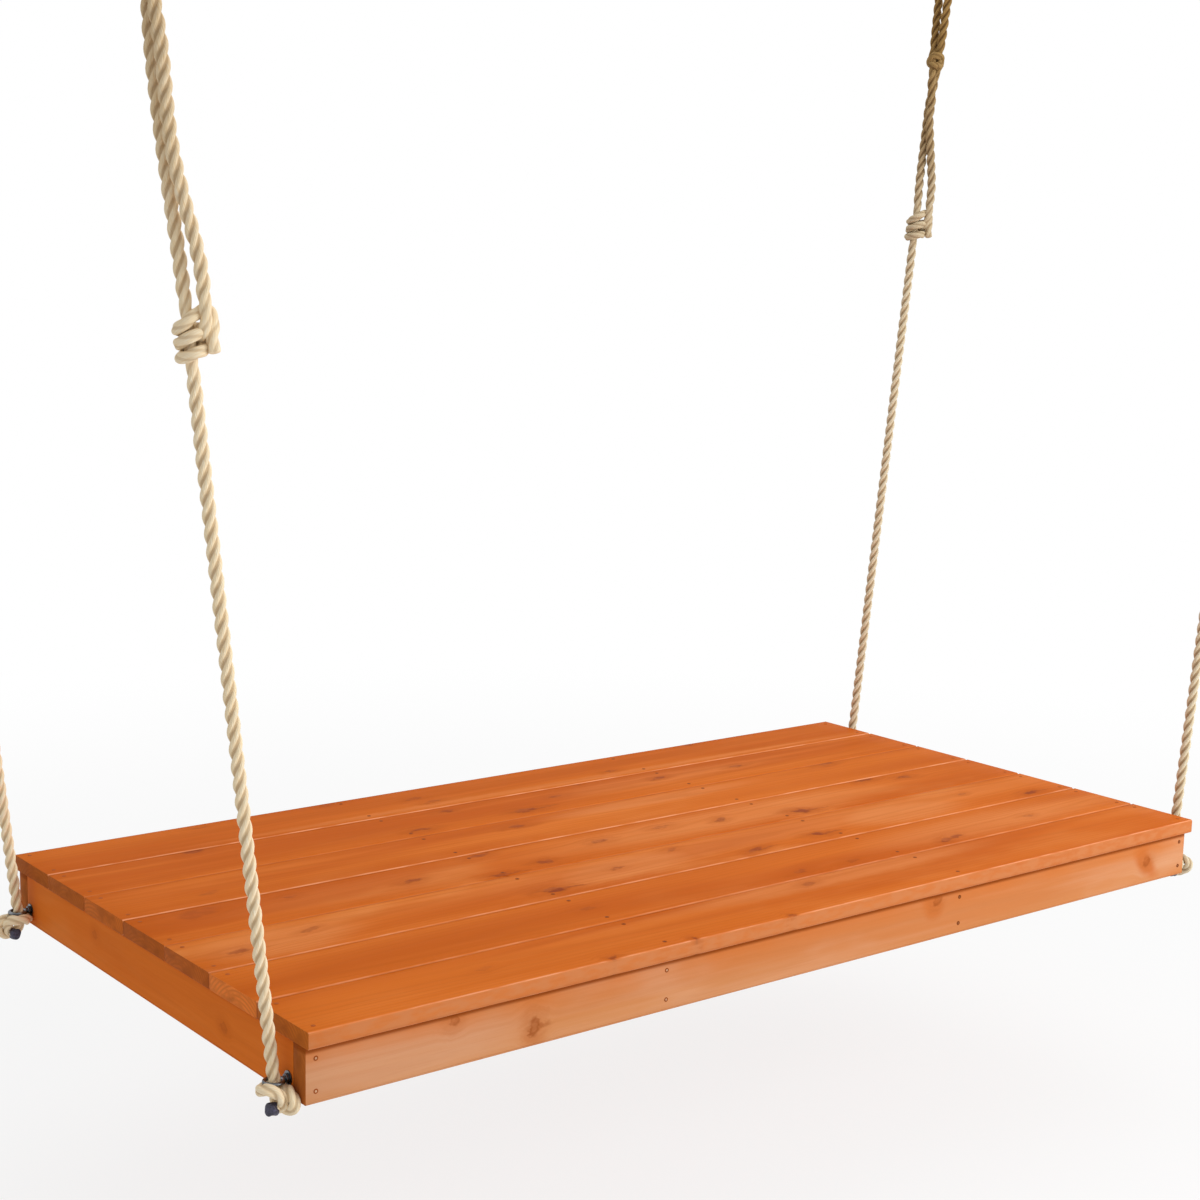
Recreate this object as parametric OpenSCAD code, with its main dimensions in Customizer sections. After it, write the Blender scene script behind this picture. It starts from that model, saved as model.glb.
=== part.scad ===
// Porch swing: a boarded deck on four ropes, hung from four screw hooks.
// Origin: the middle of the four hooks, on the ceiling they screw into.
// X runs along the deck, Y from front to back, Z up.

/* [Deck] */
// Length of the deck, side to side
deck_length = 1905; // [1500:5:2300]
// Depth of the deck, front to back
deck_depth = 990; // [800:5:1200]
// Number of deck boards
board_count = 7; // [5:1:9]
// Gap between two deck boards
board_gap = 2; // [1:0.5:6]
// Thickness of the deck boards
board_thick = 25.4; // [20:0.2:36]
// Rounding of the boards' long edges
board_round = 4; // [1:0.5:8]

/* [Frame] */
// Height of the rails and joists
rail_height = 82.5; // [66:0.5:120]
// Thickness of the rails and joists
rail_thick = 32; // [26:0.5:45]
// Rounding of the rails' long edges
rail_round = 3; // [1:0.5:6]
// How far the deck stands past the front and rear rails
front_overhang = 13; // [4:1:40]
// How far the deck stands past the end rails
end_overhang = 3; // [0:1:12]
// Distance of each inner joist from the middle
joist_offset = 325; // [200:5:500]

/* [Nails] */
// Diameter of a nail head
nail_head_d = 7; // [5:0.5:10]
// Diameter of a nail
nail_d = 2.8; // [2:0.1:4]
// Length of the deck nails
deck_nail_length = 41; // [38:1:42]
// Length of the rail nails
rail_nail_length = 75; // [60:1:90]
// Distance of a deck nail from its board's long edge
deck_nail_inset = 20; // [14:1:40]
// Distance of a rail nail from the rail's upper or lower edge
rail_nail_inset = 18; // [17:0.5:19]

/* [Eye bolts] */
// Diameter of the bolt
bolt_d = 8; // [6:0.5:10]
// Inner diameter of the ring
ring_inner_d = 21; // [20:0.5:36]
// Diameter of the ring's wire
ring_wire_d = 5.6; // [5:0.2:8]
// Distance of the ring's centre from the end rail
ring_out = 22.5; // [22:0.5:45]
// Height of the ring above the rail's lower edge
ring_up = 26; // [25:0.5:40]
// Distance of the bolt from the front or rear rail
bolt_inset = 13; // [12:0.5:60]

/* [Ropes] */
// Diameter of the rope
rope_d = 19; // [13:0.5:20]
// Distance of the deck's top below the ceiling
deck_drop = 1705; // [1300:5:2600]
// Distance of the front hitches below their hooks
front_hitch_drop = 738; // [500:2:900]
// Distance of the rear hitches below their hooks
rear_hitch_drop = 540; // [500:2:900]
// Distance of the links below their hooks
link_drop = 184; // [120:2:230]
// Width of a hitch
hitch_width = 58; // [57:1:74]
// Height of a hitch
hitch_height = 56; // [44:2:70]
// Width of a link
link_width = 46; // [45:1:64]
// Height of a link
link_height = 40; // [30:2:60]
// Width of a stopper knot
knot_width = 48; // [40:1:60]
// Height of a stopper knot
knot_height = 34; // [30:1:50]
// Length of the taped rope tail
tail_length = 12; // [8:1:30]

/* [Hooks] */
// Distance between the left and right hooks' screws
hook_spacing = 2360; // [2100:10:2600]
// Diameter of the hook's wire and screw
hook_wire_d = 10; // [8:0.5:12]
// Radius of the bowl, to the middle of the wire
bowl_radius = 24; // [23:0.5:36]
// Distance of the bowl's centre below the ceiling
bowl_drop = 38; // [37:0.5:60]
// Radius of the bend between the screw and the bowl
hook_bend = 8; // [7:0.5:14]
// Length of the screw in the ceiling
screw_length = 60; // [40:1:100]

/* [Hidden] */
$fn = 96;
rope_sides = 10;
fine = 0.05;
cup_gap = 0.3;

corner_names = ["front_left", "front_right", "rear_left", "rear_right"];
side_x = [-1, 1, -1, 1];
side_y = [-1, -1, 1, 1];
corners = [0:3];

board_width = (deck_depth - (board_count - 1) * board_gap) / board_count;
rail_half_length = deck_length / 2 - end_overhang;
rail_out = deck_depth / 2 - front_overhang;
rail_in = rail_out - rail_thick;
rail_top = -deck_drop - board_thick;
rail_bottom = rail_top - rail_height;
end_rail_x = rail_half_length - rail_thick / 2;
joist_x = [-end_rail_x, -joist_offset, joist_offset, end_rail_x];
nail_head_thick = 1.2;
nail_tip_room = 0.5;
rail_nail_z = [rail_bottom + rail_nail_inset, rail_top - rail_nail_inset];

ring_x = rail_half_length + ring_out;
ring_y = rail_in - bolt_inset;
ring_z = rail_bottom + ring_up;
ring_radius = (ring_inner_d + ring_wire_d) / 2;
washer_thick = 1.6;
washer_width = bolt_d + 12;
nut_thick = 0.8 * bolt_d;
nut_width = bolt_d + 5;
bolt_end = 4;
shoulder_width = bolt_d + 5;
shoulder_thick = 4.5;
shoulder_round = 0.8;

hook_x = hook_spacing / 2;
bowl_x = hook_x - hook_bend;
lean = atan((bowl_x - ring_x) / (-bowl_drop - ring_z));
rope_length = norm([bowl_x - ring_x, -bowl_drop - ring_z]) - bowl_radius;
collar_width = 22;
collar_thick = 3;
tip_length = 9;
bend_z = bowl_radius + hook_bend - bowl_drop;
tip_rise = 3;

rope_r = rope_d / 2;
hitch_drops = [front_hitch_drop, front_hitch_drop, rear_hitch_drop, rear_hitch_drop];
hitch_turn = -37;
hitch_offset = 10;
hitch_round = 3;
link_round = 3;
leg_gap = 7;
leg_spread = rope_d + leg_gap;
leg_pair = rope_r + 0.5;
pair_turns = [48, 48, 85, 85];
leg_bend = 80;
leg_merge = 200;
knot_round = 8;
knot_out = 6.5;
knot_drop = ring_wire_d / 2 + 2 * cup_gap;
tail_offset = 6;
tail_width = rope_d + 1;
bight_radius = rope_r + hook_wire_d / 2 + 0.5;
ball_angles = [75, 45, 20];

wood = [0.80, 0.42, 0.18];
pale_wood = [0.87, 0.55, 0.34];
zinc = [0.72, 0.73, 0.74];
manila = [0.85, 0.76, 0.60];
tape = [0.12, 0.13, 0.18];

// y of a board's front edge
function board_start(i) = -deck_depth / 2 + (i - 1) * (board_width + board_gap);

// y of the nail rows, two in each board
function nail_rows(i) = [
  board_start(i) + deck_nail_inset,
  board_start(i) + board_width - deck_nail_inset
];

// one ring of a rope tube, square to the direction d
function ring_axis(d) = let (a = [1, 0, 0] - d[0] * d) a / norm(a);
function ring_points(p, d, r) = let (a = ring_axis(d), b = cross(d, a))
  [for (k = [0:rope_sides - 1]) p + r * (cos(360 * k / rope_sides) * a + sin(360 * k / rope_sides) * b)];

// direction of a route at one of its points, upright at both ends
function route_way(p, i) = let (
    last = len(p) - 1,
    v = p[min(i + 1, last)] - p[max(i - 1, 0)]
  ) i == 0 || i == last ? [0, 0, sign(v[2])] : v / norm(v);

// section w by h with rounded corners, centred
module rounded_section(w, h, r) {
  square([w - 2 * r, h], center = true);
  square([w, h - 2 * r], center = true);
  for (x = [-1, 1], y = [-1, 1])
    translate([x * (w / 2 - r), y * (h / 2 - r)])
      circle(r = r);
}

// round body of width w and height h about z, rounded edges
module bun(w, h, r) {
  rotate_extrude()
    intersection() {
      rounded_section(w, h, r);
      translate([0, -h])
        square([w, 2 * h]);
    }
}

// half ball standing on z = 0
module round_end(r) {
  rotate_extrude()
    intersection() {
      circle(r = r);
      square([r, r]);
    }
}

// rope swept through route points, with a radius at each
module rope_tube(p, radii) {
  n = rope_sides;
  rings = len(p);
  polyhedron(
    points = [for (i = [0:rings - 1]) each ring_points(p[i], route_way(p, i), radii[i])],
    faces = concat(
      [[for (k = [0:n - 1]) k]],
      [for (i = [0:rings - 2], k = [0:n - 1]) [i * n + k, (i + 1) * n + k, (i + 1) * n + (k + 1) % n]],
      [for (i = [0:rings - 2], k = [0:n - 1]) [i * n + k, (i + 1) * n + (k + 1) % n, i * n + (k + 1) % n]],
      [[for (k = [n - 1:-1:0]) (rings - 1) * n + k]]
    )
  );
}

// places a corner's rope parts, z up the rope from the ring's centre
module on_rope(c) {
  translate([side_x[c] * ring_x, side_y[c] * ring_y, ring_z])
    rotate([0, side_x[c] * lean, 0])
      children();
}

// headed nail standing along -z from its flat head
module nail(length, grow) {
  translate([0, 0, -nail_head_thick])
    cylinder(h = nail_head_thick, r = nail_head_d / 2 + grow);
  translate([0, 0, -length - (grow > 0 ? nail_tip_room : 0)])
    cylinder(h = length + (grow > 0 ? nail_tip_room : 0), r = nail_d / 2 + grow);
}

// nails of one board, one pair over each joist
module board_nails(i, grow) {
  for (x = joist_x, y = nail_rows(i))
    translate([x, y, -deck_drop])
      nail(deck_nail_length, grow);
}

module all_deck_nails(grow) {
  for (i = [1:board_count])
    board_nails(i, grow);
}

// nails through one rail, side -1 front and 1 rear
module one_rail_nails(side, grow) {
  for (x = joist_x, z = rail_nail_z)
    translate([x, side * rail_out, z])
      rotate([-side * 90, 0, 0])
        nail(rail_nail_length, grow);
}

module all_rail_nails(grow) {
  one_rail_nails(-1, grow);
  one_rail_nails(1, grow);
}

module deck_board(i) {
  color(wood)
    difference() {
      translate([-deck_length / 2, board_start(i) + board_width / 2, -deck_drop - board_thick / 2])
        rotate([90, 0, 90])
          linear_extrude(height = deck_length)
            rounded_section(board_width, board_thick, board_round);
      board_nails(i, fine);
    }
}

module long_rail(side) {
  color(pale_wood)
    difference() {
      translate([-rail_half_length, side * (rail_out - rail_thick / 2), rail_top - rail_height / 2])
        rotate([90, 0, 90])
          linear_extrude(height = 2 * rail_half_length)
            rounded_section(rail_thick, rail_height, rail_round);
      board_nails(side < 0 ? 1 : board_count, fine);
      one_rail_nails(side, fine);
    }
}

// rail or joist across the frame, between the front and rear rails
module cross_rail(x) {
  color(wood)
    difference() {
      translate([x, rail_in, rail_top - rail_height / 2])
        rotate([90, 0, 0])
          linear_extrude(height = 2 * rail_in)
            rounded_section(rail_thick, rail_height, rail_round);
      all_deck_nails(fine);
      all_rail_nails(fine);
      if (abs(x) == end_rail_x)
        for (side = [-1, 1])
          translate([x, side * ring_y, ring_z])
            rotate([0, 90, 0])
              cylinder(h = 2 * rail_thick, r = bolt_d / 2 + fine, center = true);
    }
}

module deck_nails() {
  color(zinc)
    all_deck_nails(0);
}

module rail_nails() {
  color(zinc)
    all_rail_nails(0);
}

// places a corner's bolt parts, x outwards, from the end rail's outer face
module on_bolt(c) {
  translate([side_x[c] * rail_half_length, side_y[c] * ring_y, ring_z])
    mirror([side_x[c] < 0 ? 1 : 0, 0, 0])
      children();
}

module eye_bolt(c) {
  shank_in = rail_thick + washer_thick + nut_thick + bolt_end;
  color(zinc)
    on_bolt(c) {
      translate([ring_out, 0, 0])
        rotate_extrude()
          translate([ring_radius, 0])
            circle(r = ring_wire_d / 2);
      translate([-shank_in, 0, 0])
        rotate([0, 90, 0])
          cylinder(h = shank_in + ring_out - ring_radius, r = bolt_d / 2);
      translate([washer_thick + shoulder_thick / 2, 0, 0])
        rotate([0, 90, 0])
          bun(shoulder_width, shoulder_thick, shoulder_round);
    }
}

module washer() {
  rotate([0, 90, 0])
    difference() {
      cylinder(h = washer_thick, r = washer_width / 2);
      translate([0, 0, -1])
        cylinder(h = washer_thick + 2, r = bolt_d / 2 + fine);
    }
}

module eye_washers() {
  color(zinc)
    for (c = corners)
      on_bolt(c) {
        washer();
        translate([-rail_thick - washer_thick, 0, 0])
          washer();
      }
}

module eye_nuts() {
  color(zinc)
    for (c = corners)
      on_bolt(c)
        translate([-rail_thick - washer_thick - nut_thick, 0, 0])
          rotate([0, 90, 0])
            difference() {
              cylinder(h = nut_thick, r = nut_width / 2 / cos(30), $fn = 6);
              translate([0, 0, -1])
                cylinder(h = nut_thick + 2, r = bolt_d / 2 + fine);
            }
}

// places a corner's knot parts, level, from the ring's centre
module on_ring(c) {
  translate([side_x[c] * ring_x, side_y[c] * ring_y, ring_z])
    children();
}

module stopper_knot(c) {
  color(manila)
    on_ring(c)
      difference() {
        translate([side_x[c] * knot_out, 0, -knot_drop - knot_height / 2])
          bun(knot_width, knot_height, knot_round);
        sphere(r = rope_r + cup_gap);
      }
}

module tail_tape(c) {
  color(tape)
    on_ring(c)
      translate([side_x[c] * knot_out, 0, -knot_drop - knot_height - tail_length])
        rotate([0, 0, hitch_turn])
          translate([-tail_offset, 0, 0])
            cylinder(h = tail_length, r = tail_width / 2);
}

// straight rope from its ball end in the ring up to the hitch
module rope(c) {
  ball = [for (a = ball_angles) [0, 0, -rope_r * sin(a)]];
  top = [0, 0, rope_length - hitch_drops[c] - hitch_height / 2];
  color(manila)
    on_rope(c)
      rope_tube(
        concat(ball, [[0, 0, 0], top]),
        concat([for (a = ball_angles) rope_r * cos(a)], [rope_r, rope_r])
      );
}

module hitch(c) {
  color(manila)
    on_rope(c)
      rotate([0, 0, hitch_turn])
        translate([hitch_offset, 0, rope_length - hitch_drops[c]])
          bun(hitch_width, hitch_height, hitch_round);
}

// the two legs of the loop between the hitch and the link
module loop(c) {
  low = rope_length - hitch_drops[c] + hitch_height / 2;
  high = rope_length - link_drop - link_height / 2;
  pair_x = leg_pair * cos(pair_turns[c]);
  pair_y = leg_pair * sin(pair_turns[c]);
  legs = [
    [[0, 0, low], [-2, 3, low + leg_bend], [-pair_x, pair_y, low + leg_merge], [-pair_x, pair_y, high]],
    [[leg_spread, 0, low], [22, -4, low + leg_bend], [pair_x, -pair_y, low + leg_merge], [pair_x, -pair_y, high]]
  ];
  color(manila)
    on_rope(c)
      rotate([0, 0, hitch_turn])
        for (leg = legs)
          rope_tube(leg, [for (p = leg) rope_r]);
}

module link(c) {
  color(manila)
    on_rope(c)
      translate([0, 0, rope_length - link_drop])
        bun(link_width, link_height, link_round);
}

// doubled rope over the hook
module sling(c) {
  low = rope_length - link_drop + link_height / 2;
  bight = [for (a = [0:30:180]) [0, bight_radius * cos(a), rope_length + bight_radius * sin(a)]];
  path = concat([[0, leg_pair, low]], bight, [[0, -leg_pair, low]]);
  color(manila)
    on_rope(c)
      rope_tube(path, [for (p = path) rope_r]);
}

// wire bent round in the plane of X and Z, from +X towards +Z
module wire_bend(radius, turn) {
  rotate([90, 0, 0])
    rotate_extrude(angle = turn)
      translate([radius, 0])
        circle(r = hook_wire_d / 2);
}

// screw hook, its bowl open towards the outside
module hook(c) {
  wire_r = hook_wire_d / 2;
  color(zinc)
    translate([side_x[c] * hook_x, side_y[c] * ring_y, 0])
      mirror([side_x[c] < 0 ? 1 : 0, 0, 0]) {
        translate([0, 0, screw_length - tip_length])
          cylinder(h = tip_length, r1 = wire_r, r2 = wire_r / 5);
        translate([0, 0, bend_z])
          cylinder(h = screw_length - tip_length - bend_z, r = wire_r);
        translate([0, 0, -collar_thick])
          cylinder(h = collar_thick, r = collar_width / 2);
        translate([-hook_bend, 0, bend_z])
          mirror([0, 0, 1])
            wire_bend(hook_bend, 90);
        translate([-hook_bend, 0, -bowl_drop]) {
          rotate([0, -90, 0])
            wire_bend(bowl_radius, 270);
          translate([bowl_radius, 0, 0])
            cylinder(h = tip_rise, r = wire_r);
          translate([bowl_radius, 0, tip_rise])
            round_end(wire_r);
        }
      }
}

for (i = [1:board_count])
  deck_board(i);
long_rail(-1);  // front_rail
long_rail(1);  // rear_rail
cross_rail(-end_rail_x);  // left_end_rail
cross_rail(end_rail_x);  // right_end_rail
cross_rail(-joist_offset);  // inner_joist_left
cross_rail(joist_offset);  // inner_joist_right
deck_nails();
rail_nails();
eye_washers();
eye_nuts();
for (c = corners) {
  eye_bolt(c);
  stopper_knot(c);
  tail_tape(c);
  rope(c);
  hitch(c);
  loop(c);
  link(c);
  sling(c);
  hook(c);
}
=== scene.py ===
import math

import bmesh
import bpy
from mathutils import Matrix, Vector


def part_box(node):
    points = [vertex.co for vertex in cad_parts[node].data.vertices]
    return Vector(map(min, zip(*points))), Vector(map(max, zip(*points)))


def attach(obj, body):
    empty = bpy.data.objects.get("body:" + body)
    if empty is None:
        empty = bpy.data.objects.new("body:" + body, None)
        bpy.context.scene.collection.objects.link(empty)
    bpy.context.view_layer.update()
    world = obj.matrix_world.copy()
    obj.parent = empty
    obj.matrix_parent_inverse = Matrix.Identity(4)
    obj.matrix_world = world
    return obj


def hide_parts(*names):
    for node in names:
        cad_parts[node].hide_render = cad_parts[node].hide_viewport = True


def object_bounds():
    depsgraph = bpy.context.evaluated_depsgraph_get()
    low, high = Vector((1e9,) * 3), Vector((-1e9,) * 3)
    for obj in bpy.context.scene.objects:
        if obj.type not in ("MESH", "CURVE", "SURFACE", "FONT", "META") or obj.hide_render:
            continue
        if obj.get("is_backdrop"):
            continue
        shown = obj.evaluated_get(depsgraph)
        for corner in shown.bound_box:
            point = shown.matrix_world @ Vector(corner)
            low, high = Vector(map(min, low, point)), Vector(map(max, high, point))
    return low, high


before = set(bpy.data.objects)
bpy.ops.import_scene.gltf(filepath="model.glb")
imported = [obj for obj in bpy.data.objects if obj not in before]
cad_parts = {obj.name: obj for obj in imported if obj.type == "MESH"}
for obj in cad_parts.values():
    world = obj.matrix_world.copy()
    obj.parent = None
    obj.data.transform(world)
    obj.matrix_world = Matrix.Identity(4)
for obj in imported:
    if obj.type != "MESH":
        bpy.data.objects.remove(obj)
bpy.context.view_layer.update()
scene = bpy.context.scene
print("swing loaded:", len(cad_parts), "parts")

corners = {  # -1 for left and for front, 1 for right and for rear, then the body its ropes ride on
    "front_left": (-1, -1, "front_ropes"),
    "front_right": (1, -1, "front_ropes"),
    "rear_left": (-1, 1, "rear_ropes"),
    "rear_right": (1, 1, "rear_ropes"),
}


def linear(code):  # a paint colour such as "C86428" as Blender wants it
    parts = [int(code[i:i + 2], 16) / 255 for i in (0, 2, 4)]
    return tuple(c / 12.92 if c <= 0.04045 else ((c + 0.055) / 1.055) ** 2.4 for c in parts) + (1.0,)


class Value:  # a number that varies over the surface, for sums written in Python
    def __init__(self, tree, socket):
        self.tree = tree
        self.socket = socket

    def sum(self, operation, *others):
        sockets = dict(enumerate((self,) + others))
        return self.tree.make("ShaderNodeMath", {"operation": operation}, sockets).out(0)

    def __add__(self, other):
        return self.sum("ADD", other)

    def __sub__(self, other):
        return self.sum("SUBTRACT", other)

    def __rsub__(self, other):  # a plain number less this one
        return self.tree.make("ShaderNodeMath", {"operation": "SUBTRACT"}, {0: other, 1: self}).out(0)

    def __mul__(self, other):
        return self.sum("MULTIPLY", other)

    def __pow__(self, other):
        return self.sum("POWER", other)

    def __abs__(self):
        return self.sum("ABSOLUTE")

    def __gt__(self, other):
        return self.sum("GREATER_THAN", other)

    __radd__ = __add__
    __rmul__ = __mul__

    def sine(self):
        return self.sum("SINE")

    def most(self, other):
        return self.sum("MAXIMUM", other)

    def ease(self, start, end, low=0.0, high=1.0):  # soft step from start to end
        made = self.tree.make(
            "ShaderNodeMapRange",
            {"interpolation_type": "SMOOTHSTEP"},
            {"Value": self, "From Min": start, "From Max": end, "To Min": low, "To Max": high},
        )
        return made.out(0)


class Made:  # one node just added
    def __init__(self, tree, node):
        self.tree = tree
        self.node = node

    def out(self, which):
        return Value(self.tree, self.node.outputs[which])


class Finish:  # one material or world and its nodes
    def __init__(self, name, world=None):
        self.material = world or bpy.data.materials.new(name)
        self.material.use_nodes = True
        self.nodes = self.material.node_tree.nodes
        self.links = self.material.node_tree.links
        self.nodes.clear()

    def make(self, kind, settings=None, sockets=None):
        node = self.nodes.new(kind)
        for key, setting in (settings or {}).items():
            setattr(node, key, setting)
        for key, source in (sockets or {}).items():
            if isinstance(source, Value):
                self.links.new(source.socket, node.inputs[key])
            else:
                node.inputs[key].default_value = source
        return Made(self, node)

    def blend(self, share, first, second, way="MIX"):  # two colours
        made = self.make(
            "ShaderNodeMix",
            {"data_type": "RGBA", "blend_type": way, "clamp_factor": True},
            {0: share, 6: first, 7: second},
        )
        return made.out(2)

    def noise(self, place, size, detail=2.0, rough=0.5):
        made = self.make(
            "ShaderNodeTexNoise",
            {"noise_dimensions": "3D"},
            {"Vector": place, "Scale": size, "Detail": detail, "Roughness": rough},
        )
        return made.out("Fac")

    def here(self):  # where a spot lies on its piece, in metres
        return self.make("ShaderNodeTexCoord").out("Object")

    def seen(self):  # 1 where it is looked at, also in or through another thing, and 0 where it only lights
        rays = self.make("ShaderNodeLightPath")
        return rays.out("Is Camera Ray").most(rays.out("Is Glossy Ray")).most(rays.out("Is Transmission Ray"))

    def split(self, vector):
        made = self.make("ShaderNodeSeparateXYZ", {}, {0: vector})
        return made.out(0), made.out(1), made.out(2)

    def join(self, x, y, z):
        return self.make("ShaderNodeCombineXYZ", {}, {0: x, 1: y, 2: z}).out(0)

    def bump(self, height, depth, strength):
        sockets = {"Height": height, "Distance": depth, "Strength": strength}
        return self.make("ShaderNodeBump", {}, sockets).out(0)

    def done(self, **surface):  # a plain surface with these settings, such as Base_Color
        sockets = {key.replace("_", " "): value for key, value in surface.items()}
        shader = self.make("ShaderNodeBsdfPrincipled", {}, sockets)
        self.make("ShaderNodeOutputMaterial", {}, {"Surface": shader.out(0)})
        return self.material


cameraView = {
    "place": (-2.2434, -2.7435, -0.6954),
    "turn": (80.6584, -1.2679, -37.8983),  # in degrees
    "lens": 61.32,                         # in millimetres, as is the sensor
    "sensor": 36,
    "near": 0.05,
    "far": 60,
}

cameraData = bpy.data.cameras.new("camera")
cameraData.lens = cameraView["lens"]
cameraData.sensor_width = cameraView["sensor"]
cameraData.clip_start = cameraView["near"]
cameraData.clip_end = cameraView["far"]
camera = bpy.data.objects.new("camera", cameraData)
camera.location = cameraView["place"]
camera.rotation_euler = [math.radians(a) for a in cameraView["turn"]]
scene.collection.objects.link(camera)
scene.camera = camera
scene.view_settings.view_transform = "Standard"
print("camera set")


ropeShape = {
    "thick": 0.019,
    "turn": 0.071,          # length of one full turn of the three strands
    "strandMiddle": 0.536,  # how far out a strand lies, and its own size, as shares of the rope's radius
    "strandSize": 0.464,
    "groove": 0.60,         # how near the grooves come to the middle, as a share of the radius
    "ringEvery": 0.0030,
    "grooveAngles": (-60, -55, -49, -41, -31, -18, -6, 6, 18, 31, 41, 49, 55),
    "endSteps": ((0.93, 0.10), (0.72, 0.20), (0.40, 0.24)),  # how a cut end rounds off, inwards and out
}
ropeFit = {
    "lean": 6.524,         # degrees, outwards
    "length": 1.736299,    # from the ring to the hook's wire
    "knotTurn": -37,       # degrees, which face the knots to the front left
    "hitch": {"front": 0.9983, "rear": 1.1963},  # heights above the ring
    "link": 1.5523,
}
ringSpot = Vector((0.972, 0.437, -1.7869))

# where the rope is pulled thin by its hitch and link, and how far its grooves close there
pulledShape = {"thin": 0.86, "smooth": 0.6, "hitchReach": 0.038, "linkReach": 0.024, "easeOver": 0.022}
# the upper rope over its hook, in millimetres and degrees, and how it closes in on it
slingShape = {"reach": 15.0, "bendStep": 20, "closeIn": (0.5, 0.8, 0.92, 0.97)}
# the lower rope between its knots, in millimetres from their middles
loopShape = {
    "start": -6, "straight": (300, 600), "below": 60, "above": 40, "part": 108, "beside": 228,
    "pair": {"front": (6.7, 7.4), "rear": (0.9, 10.0)},  # where the loop's legs lie beside each other
}
# the stopper knot, its top level and where its side is drawn up in millimetres
stopperShape = {
    "thin": 0.93, "smooth": 0.35, "ringEvery": 0.0024,
    "level": -11.5, "liftFrom": 12, "liftOver": 18,
}
# the tape round its tail, with the places of its rings beyond the rope's end
tapeShape = {"thick": 1.02, "smooth": 0.6, "rings": (-0.0035, -0.001, 0.0015, 0.004, 0.0065)}

# the hitch, across, away and up from its middle, in millimetres
hitchRoute = [
    (25, -5, 75), (25, -6, 50), (25.5, -8, 32), (24, -9, 18), (20, -6, 6), (15, 7, -4), (7, 15, -12),
    (-3, 15, -19), (-11, 8, -24), (-12.5, -1, -25), (-9, -10, -24), (0, -15, -22), (10, -14, -19),
    (16.5, -6, -17), (16, 4, -15), (10, 13, -12), (0, 15, -11), (-9, 10, -10), (-12.5, 0, -8),
    (-9, -10, -5), (0, -15, -1), (9, -14, 3), (16, -6, 6), (16, 4, 8), (9, 13, 9), (0, 14, 9), (-9, 10, 8),
    (-12.5, 1, 8.5), (-10, -9, 12), (-2, -14.5, 17), (7, -13, 23), (14, -4, 28), (20, 5, 31), (26, 9, 29),
    (30, 7, 21), (30.5, 3, 10), (29, -2, 0), (29.5, -5, -11), (30.5, -7, -20),
]
# the lower rope's bight in the link, and the upper rope's
bightRoute = [
    (4, 9.5, -45), (5, 9, -30), (8, 6, -15), (11.5, 8, -3), (12, 4, 6), (8, -8, 10.5), (0, -12, 11),
    (-9, -9, 8), (-8.5, -6, 0), (-5, -2, -9), (-5, -5, -22), (-4, -9, -34), (-4, -9.5, -48),
]
slingRoute = [
    (-6.4, 7.6, 42), (-6, 6.5, 24), (-9, 7, 10), (-11.5, 6, 1), (-10.5, -3, -6.5), (-6, -11, -9),
    (2, -13, -10.5), (9, -9, -8), (8, -5, 0), (3, 1, 8), (5, 0, 19), (6.4, -5, 31), (6.4, -7.6, 44),
]
# the stopper knot under the ring, across, away and up from the ring's centre
stopperRoute = [
    (0, 0, 2), (0, 2, -8), (-1, 5, -17), (1, 6, -27), (8, 3, -35), (19, -6, -36.5), (28, -15, -31),
    (29.5, -17.5, -21), (24, -12, -12.5), (16, 0, -11.5), (8, 11, -11.5), (-3, 17, -12), (-11, 12, -13),
    (-15, 4, -12.5), (-15.5, -7, -10.5), (-13.5, -18, -5), (-5, -24, -3), (4, -23.5, -5), (11, -20, -13),
    (13.5, -14, -23), (12, -10, -30), (7, -10, -33.5), (3, -14, -33), (1, -18, -32),
]

# how each corner's stopper knot differs: turned round or not, how flat below, how far its side is drawn up
knotForms = {
    "front_left": {"hand": 1, "flat": 1.0, "lift": 0},
    "front_right": {"hand": 1, "flat": 0.58, "lift": 6},
    "rear_left": {"hand": -1, "flat": 0.58, "lift": 0},
    "rear_right": {"hand": 1, "flat": 0.66, "lift": 0},
}


def smoothLine(points, every):  # a smooth line through given points, evenly spaced
    fine = []
    full = [points[0] * 2 - points[1]] + points + [points[-1] * 2 - points[-2]]
    for i in range(1, len(full) - 2):
        a, b, c, d = full[i - 1:i + 3]
        count = max(4, math.ceil((c - b).length / every * 2))
        for n in range(count):
            t = n / count
            squared = (2 * a - 5 * b + 4 * c - d) * t * t
            cubed = (3 * b - a - 3 * c + d) * t ** 3
            fine.append(0.5 * (2 * b + (c - a) * t + squared + cubed))
    fine.append(points[-1])
    total = sum((q - p).length for p, q in zip(fine, fine[1:]))
    rings = max(3, round(total / every) + 1)
    line, walked, i = [fine[0].copy()], 0.0, 0
    for n in range(1, rings - 1):
        goal = total * n / (rings - 1)
        while walked + (fine[i + 1] - fine[i]).length < goal:
            walked += (fine[i + 1] - fine[i]).length
            i += 1
        line.append(fine[i].lerp(fine[i + 1], (goal - walked) / (fine[i + 1] - fine[i]).length))
    line.append(fine[-1].copy())
    return line


def lineLength(line):
    return sum((q - p).length for p, q in zip(line, line[1:]))


def strandEdge(angle):  # the rope's skin at an angle from a strand's crown, as a share of its radius
    a = math.radians(angle)
    middle = ropeShape["strandMiddle"]
    bulge = math.sqrt(max(0.0, ropeShape["strandSize"] ** 2 - (middle * math.sin(a)) ** 2))
    return max(middle * math.cos(a) + bulge, ropeShape["groove"])


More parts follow.
